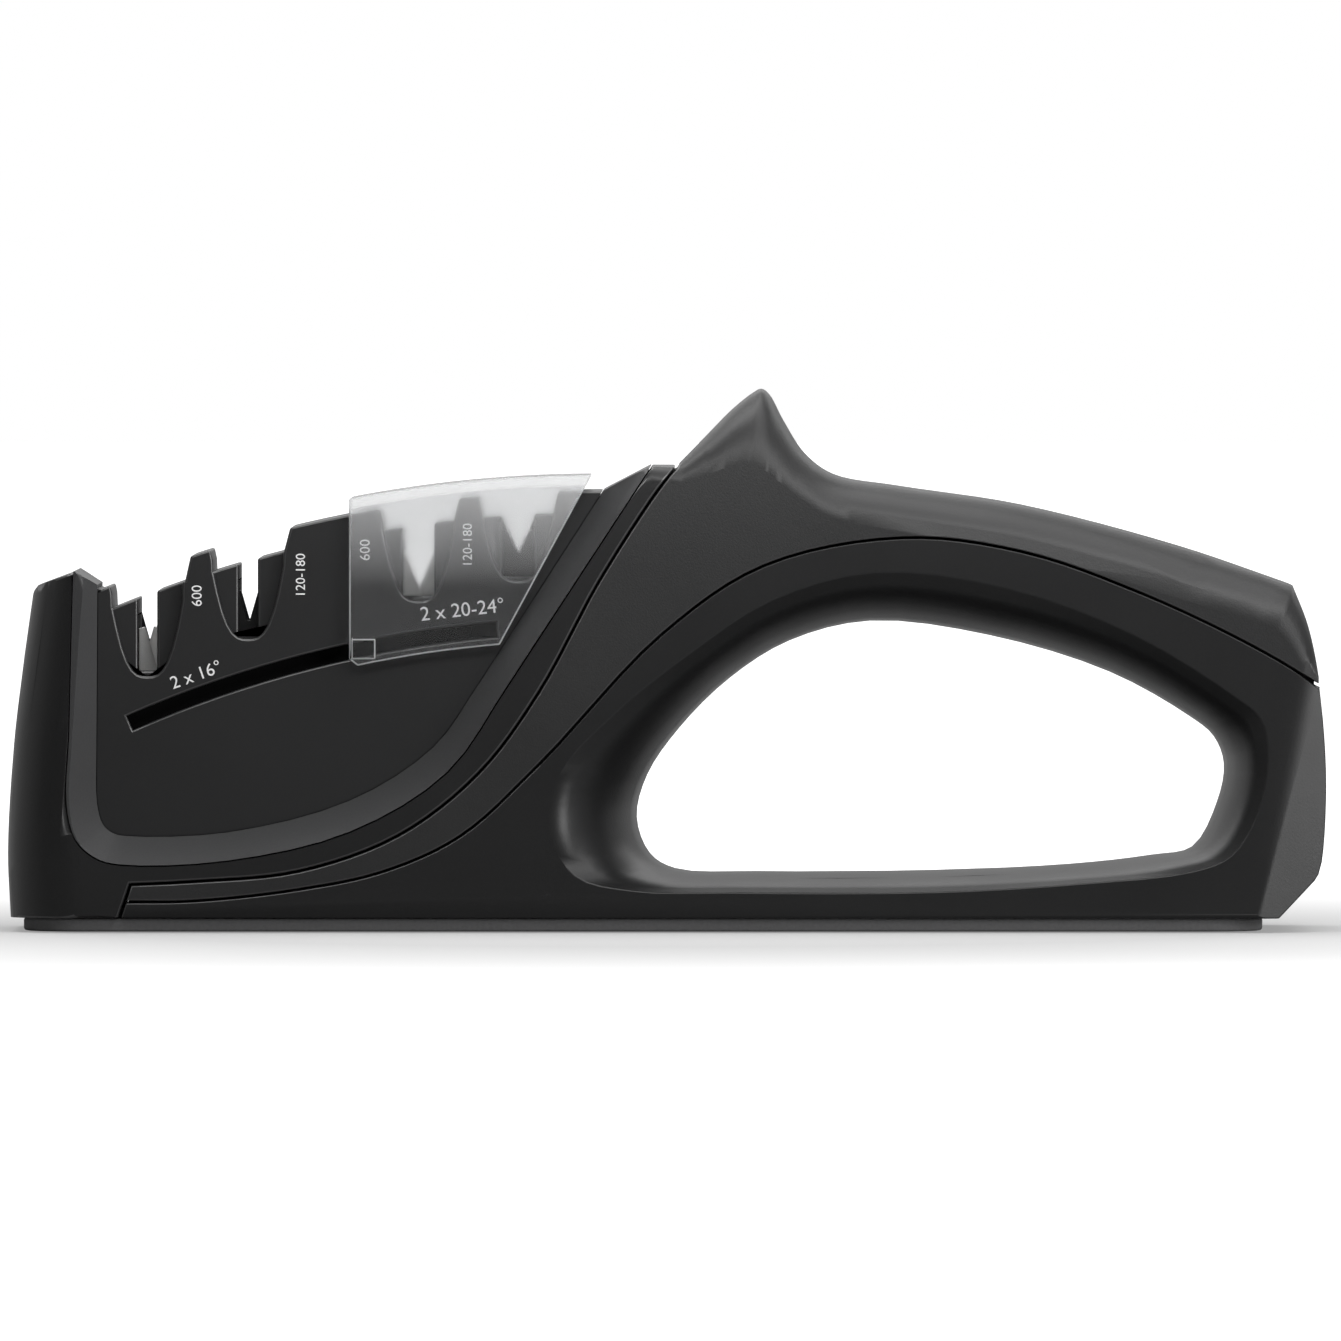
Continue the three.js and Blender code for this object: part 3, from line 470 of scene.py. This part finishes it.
def clean_copy(source, name):
    bpy.ops.object.select_all(action="DESELECT")
    source.select_set(True)
    bpy.context.view_layer.objects.active = source
    bpy.ops.object.duplicate()
    copy = bpy.context.object
    copy.name = name
    copy.data.name = name
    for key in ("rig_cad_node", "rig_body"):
        del copy[key]
    copy.parent = None
    bpy.ops.object.mode_set(mode="EDIT")
    bpy.ops.mesh.select_all(action="SELECT")
    bpy.ops.mesh.remove_doubles(threshold=MERGE_DISTANCE)
    bpy.ops.mesh.dissolve_limited(angle_limit=FLAT_ANGLE)
    bpy.ops.object.mode_set(mode="OBJECT")
    return copy


print("corners within", MERGE_DISTANCE / MM, "mm are merged")

# %% [markdown]
# The trim band and the grip cap meet their neighbours in hairline seams. The solids need a real gap there,
# so a Displace modifier swells the two copies by a part of that gap. That moves every face by the same
# small step, where a scale would shift the far ends most.

# %% Close fit of the band and the cap
FLUSH_FIT = {"trim_band": 0.17 * MM, "grip_cap": 0.14 * MM}


def fit_flush(copy, swell):
    fit = copy.modifiers.new("flush_fit", "DISPLACE")
    fit.strength = swell
    fit.mid_level = 0
    bpy.ops.object.modifier_apply(modifier=fit.name)


print("swelled for a close fit:", ", ".join(FLUSH_FIT))

# %% [markdown]
# The edges of the black shells are paler and glossier than their grained faces, and draw the fine light
# lines along the seams in front: a painted highlight. The frame keeps that painted highlight only there:
# further back its seam is a plain dark line, and the rim of the hand hole is dull. The clear cover has
# frosted edges. All of this is a second material that the bevel gives to its own faces.

# %% Soft edges
SHELLS = ("handle_frame", "grip_cap", "head_housing", "trim_band", "slot_block")
# Painted highlight: the edge colour is twice as pale as the body's and its sheen is higher.
PAINTED_EDGE_HIGHLIGHT = moulded_plastic("painted_edge_highlight", (0.02, 0.02, 0.0204), 0.32, 0.35, 0.1, 0.83, drift=0.04)
EDGE_FINISH = {node: PAINTED_EDGE_HIGHLIGHT for node in SHELLS}
EDGE_FINISH["slot_cover"] = CLEAR_EDGE
FRAME_HIGHLIGHT_END = -20 * MM
BEVEL_STEPS = 3


def soften_edges(copy, node, edge_mm, inner_half):
    if node in SHELLS:
        collapse_short_edges(copy.data, inner_half)
    weigh_outer_edges(copy.data, inner_half)
    bevel = copy.modifiers.new("edges", "BEVEL")
    bevel.width = edge_mm * MM
    bevel.segments = BEVEL_STEPS
    bevel.limit_method = "WEIGHT"
    bevel.use_clamp_overlap = node not in SHELLS
    bevel.face_strength_mode = "FSTR_AFFECTED"
    if node in EDGE_FINISH:
        bevel.material = 1
        copy.data.materials.append(EDGE_FINISH[node])
    bpy.ops.object.modifier_apply(modifier=bevel.name)
    # Behind this point the frame's edges drop the painted highlight and take the body's finish.
    if node == "handle_frame":
        for face in copy.data.polygons:
            if face.center.x > FRAME_HIGHLIGHT_END:
                face.material_index = 0


print("pieces with their own edge finish:", ", ".join(EDGE_FINISH))

# %% [markdown]
# Now every solid gets its finished copy. Smooth shading up to a limit angle keeps round surfaces round, and
# normals weighted by area keep flat ones flat. Each copy rides on the body of its solid, takes the solid's
# place, and wears the finish that the record names for it.

# %% Finished copies of the solids
SLOT_OF = {row["node"]: row["material_slot"] for row in frame["record"]["subparts"]}
SHELL_INSIDE = 17 * MM
PANEL_INSIDE = 15 * MM
# Columns: bevel in mm, and the half width of the inside where edges stay sharp.
EDGES = {
    "handle_frame": (0.2, SHELL_INSIDE),
    "grip_cap": (0.25, SHELL_INSIDE),
    "head_housing": (0.35, SHELL_INSIDE),
    "trim_band": (0.2, SHELL_INSIDE),
    "slot_block": (0.4, PANEL_INSIDE),
    "slot_cover": (0.35, SHELL_INSIDE),
    "sole_pad": (0.5, 0),
}
SMALL_EDGE = (0.15, 0)


def finished_copy(node, edge_mm, inner_half):
    source = frame["nodes"][node]
    body = source["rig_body"]
    copy = clean_copy(source, node + "_moulding")
    if node in FLUSH_FIT:
        fit_flush(copy, FLUSH_FIT[node])
    soften_edges(copy, node, edge_mm, inner_half)
    bpy.ops.object.shade_smooth_by_angle(angle=SHARP)
    flat_faces = copy.modifiers.new("flat_faces", "WEIGHTED_NORMAL")
    flat_faces.keep_sharp = True
    flat_faces.use_face_influence = True
    bpy.ops.object.modifier_apply(modifier=flat_faces.name)
    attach(copy, body)
    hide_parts(node)
    return copy


def dress(piece, slot):
    piece.data.materials[0] = FINISHES[slot]


made = {}
for node in sorted(frame["nodes"]):
    made[node] = finished_copy(node, *EDGES.get(node, SMALL_EDGE))
    dress(made[node], SLOT_OF[node])
print("finished copies:", {node: len(piece.data.polygons) for node, piece in made.items()})

# %% [markdown]
# The guide groove is the one place that looks truly black, because little light gets in and out of it. Its
# faces are found by their distance from the centre of the arc, which is the axis of the cover's joint, and
# get a darker, duller finish of their own: painted shade for the dark of the groove.

# %% Painted shade inside the guide groove
ARC_CENTRE = Vector(frame["joints"][0]["pos_m"])
GROOVE_RADIUS = 191.2 * MM
GROOVE_HALF_WIDTH = 1.4 * MM
BLOCK_FACE = 17.6 * MM
FACE_MARGIN = 0.3 * MM
# Painted shade: a quarter of the block's colour and almost no sheen stand in for the shade in the groove.
GROOVE_PAINTED_SHADE = moulded_plastic("groove_painted_shade", (0.0033, 0.0033, 0.0034), 0.7, 0.4, 0.3, 0.05)

block = made["slot_block"]
block.data.materials.append(GROOVE_PAINTED_SHADE)
groove_index = len(block.data.materials) - 1
groove_faces = 0
for face in block.data.polygons:
    reach = math.hypot(face.center.x - ARC_CENTRE.x, face.center.z - ARC_CENTRE.z)
    sunk = abs(face.center.y) < BLOCK_FACE - FACE_MARGIN
    if sunk and abs(reach - GROOVE_RADIUS) < GROOVE_HALF_WIDTH:
        face.material_index = groove_index
        groove_faces += 1
print("groove faces:", groove_faces)

# %% [markdown]
# Small white numbers tell the slots apart: a grit number stands upright beside each slot, and an angle lies
# under each pair, along the arc. Text is the quickest start for print. Each number is written flat, turned
# into a mesh a few hundredths of a millimetre thick, stood up on the block's face, and turned round for the
# other side.

# %% One printed number
PRINT_RAISE = 0.03 * MM
PRINT_CURVE_STEPS = 4


def print_number(words, x, z, height, tilt, side):
    bpy.ops.object.select_all(action="DESELECT")
    bpy.ops.object.text_add()
    label = bpy.context.object
    label.data.body = words
    label.data.size = height * MM
    label.data.align_x = "CENTER"
    label.data.align_y = "CENTER"
    label.data.extrude = PRINT_RAISE
    label.data.resolution_u = PRINT_CURVE_STEPS
    bpy.ops.object.convert(target="MESH")
    label.rotation_euler = (math.pi / 2, -math.radians(tilt) * side, 0 if side > 0 else math.pi)
    label.location = (x * MM, -side * (BLOCK_FACE + PRINT_RAISE / 2), z * MM)
    bpy.ops.object.transform_apply(location=True, rotation=True, scale=True)
    return label


print("print is raised by", PRINT_RAISE / MM, "mm")

# %% [markdown]
# The six numbers of one side are one print job on the real block, in one white ink, so they are joined into
# one piece for each side. The ink is thin.

# %% Printed numbers on both sides
# Columns: words, place along X and Z in mm, height in mm, tilt in degrees.
PRINTS = [
    ("600", -77.8, 55.6, 2.4, 90),
    ("120-180", -60.6, 59.0, 2.2, 90),
    ("600", -49.9, 63.2, 2.4, 90),
    ("120-180", -32.9, 64.0, 2.2, 90),
    ("2 x 16°", -78.0, 42.4, 3.0, 19.4),
    ("2 x 20-24°", -33.8, 53.2, 3.3, 6.3),
]
INK = moulded_plastic("white_ink", (0.72, 0.72, 0.72), 0.6, 0.2, 0.2, 0.2)

for side, side_name in ((1, "near"), (-1, "far")):
    labels = [print_number(*row, side) for row in PRINTS]
    bpy.ops.object.select_all(action="DESELECT")
    for label in labels:
        label.select_set(True)
    bpy.context.view_layer.objects.active = labels[0]
    bpy.ops.object.join()
    print_piece = bpy.context.object
    print_piece.name = "slot_numbers_" + side_name
    print_piece.data.materials.append(INK)
    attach(print_piece, "sharpener")
print(len(PRINTS), "numbers printed on each side")
